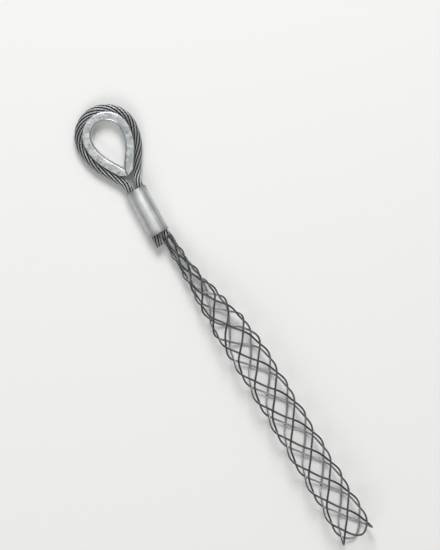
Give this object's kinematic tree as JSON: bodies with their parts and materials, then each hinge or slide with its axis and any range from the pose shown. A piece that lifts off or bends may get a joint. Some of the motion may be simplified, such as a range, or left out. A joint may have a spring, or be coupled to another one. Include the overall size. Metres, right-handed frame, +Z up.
{
  "type": "cable pulling grip",
  "caption": "Woven wire sleeve that tightens on a cable, tapering to a ferrule and a thimble-lined eye for a pulling rope.",
  "frame": {"origin": "centre of the part's footprint on the surface it lies on", "axes": "+X along the sleeve from the eye to the open mouth, +Z up from the surface"},
  "size_m": [0.5048, 0.0648, 0.038],
  "materials": {
    "wire_strand": "drawn and galvanised wire, laid seven to a strand",
    "thimble_steel": "hot-dip galvanised",
    "ferrule_alloy": "pressed aluminium",
    "fibre_core": "laid natural fibre"
  },
  "bodies": {
    "root": {"strand_1": "wire_strand", "strand_2": "wire_strand", "strand_3": "wire_strand", "strand_4": "wire_strand", "rope_core": "fibre_core", "thimble": "thimble_steel", "ferrule": "ferrule_alloy"}
  },
  "joints": []
}
